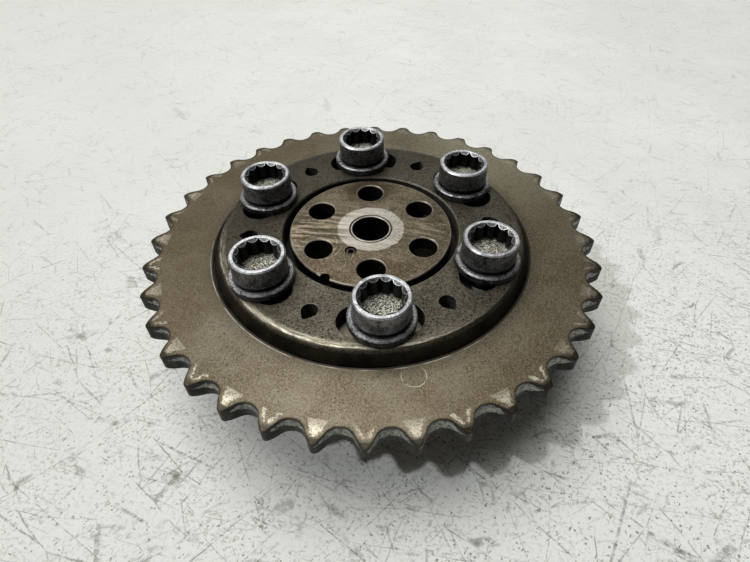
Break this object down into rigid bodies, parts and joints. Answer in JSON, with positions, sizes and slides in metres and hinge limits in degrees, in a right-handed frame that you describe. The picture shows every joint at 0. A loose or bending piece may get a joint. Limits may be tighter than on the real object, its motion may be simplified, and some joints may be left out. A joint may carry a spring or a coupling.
{
  "type": "timing chain sprocket",
  "caption": "Chain sprocket with a raised slotted carrier that turns a few degrees on a flanged hub and is clamped by socket bolts with captive washers.",
  "frame": {"origin": "centre of the hub's rear face, where it seats on the shaft", "axes": "+Z along the wheel axis towards the bolt heads, +Y towards a port of the front disc, +X to the right of it"},
  "size_m": [0.1106, 0.1106, 0.0367],
  "materials": {
    "ring_steel": "oil-darkened fine-blanked steel, worn bright on the tooth corners",
    "carrier_steel": "dark grey grained steel with a worn shoulder",
    "hub_steel": "turned steel, oil-stained",
    "disc_steel": "brown-beige steel with grinding streaks and a burnished seat",
    "sleeve_steel": "bright turned steel",
    "pin_steel": "dark spring steel",
    "shim_steel": "matt beige grit-coated steel",
    "bolt_steel": "dark grey phosphated steel, rims worn bright",
    "washer_steel": "dark grey steel, upper edge worn bright"
  },
  "bodies": {
    "hub": {"hub_body": "hub_steel", "hub_disc": "disc_steel", "centre_sleeve": "sleeve_steel", "timing_pin": "pin_steel", "friction_shim": "shim_steel", "bolt_1": "bolt_steel", "bolt_2": "bolt_steel", "bolt_3": "bolt_steel", "bolt_4": "bolt_steel", "bolt_5": "bolt_steel", "bolt_6": "bolt_steel", "washer_1": "washer_steel", "washer_2": "washer_steel", "washer_3": "washer_steel", "washer_4": "washer_steel", "washer_5": "washer_steel", "washer_6": "washer_steel"},
    "wheel": {"toothed_ring": "ring_steel", "slotted_carrier": "carrier_steel"}
  },
  "joints": [
    {"name": "wheel_adjust", "type": "hinge", "parent": "hub", "child": "wheel", "pos_m": [0, 0, 0.0257], "axis": [0, 0, 1], "range_deg": [-9.4, 10.8]}
  ]
}
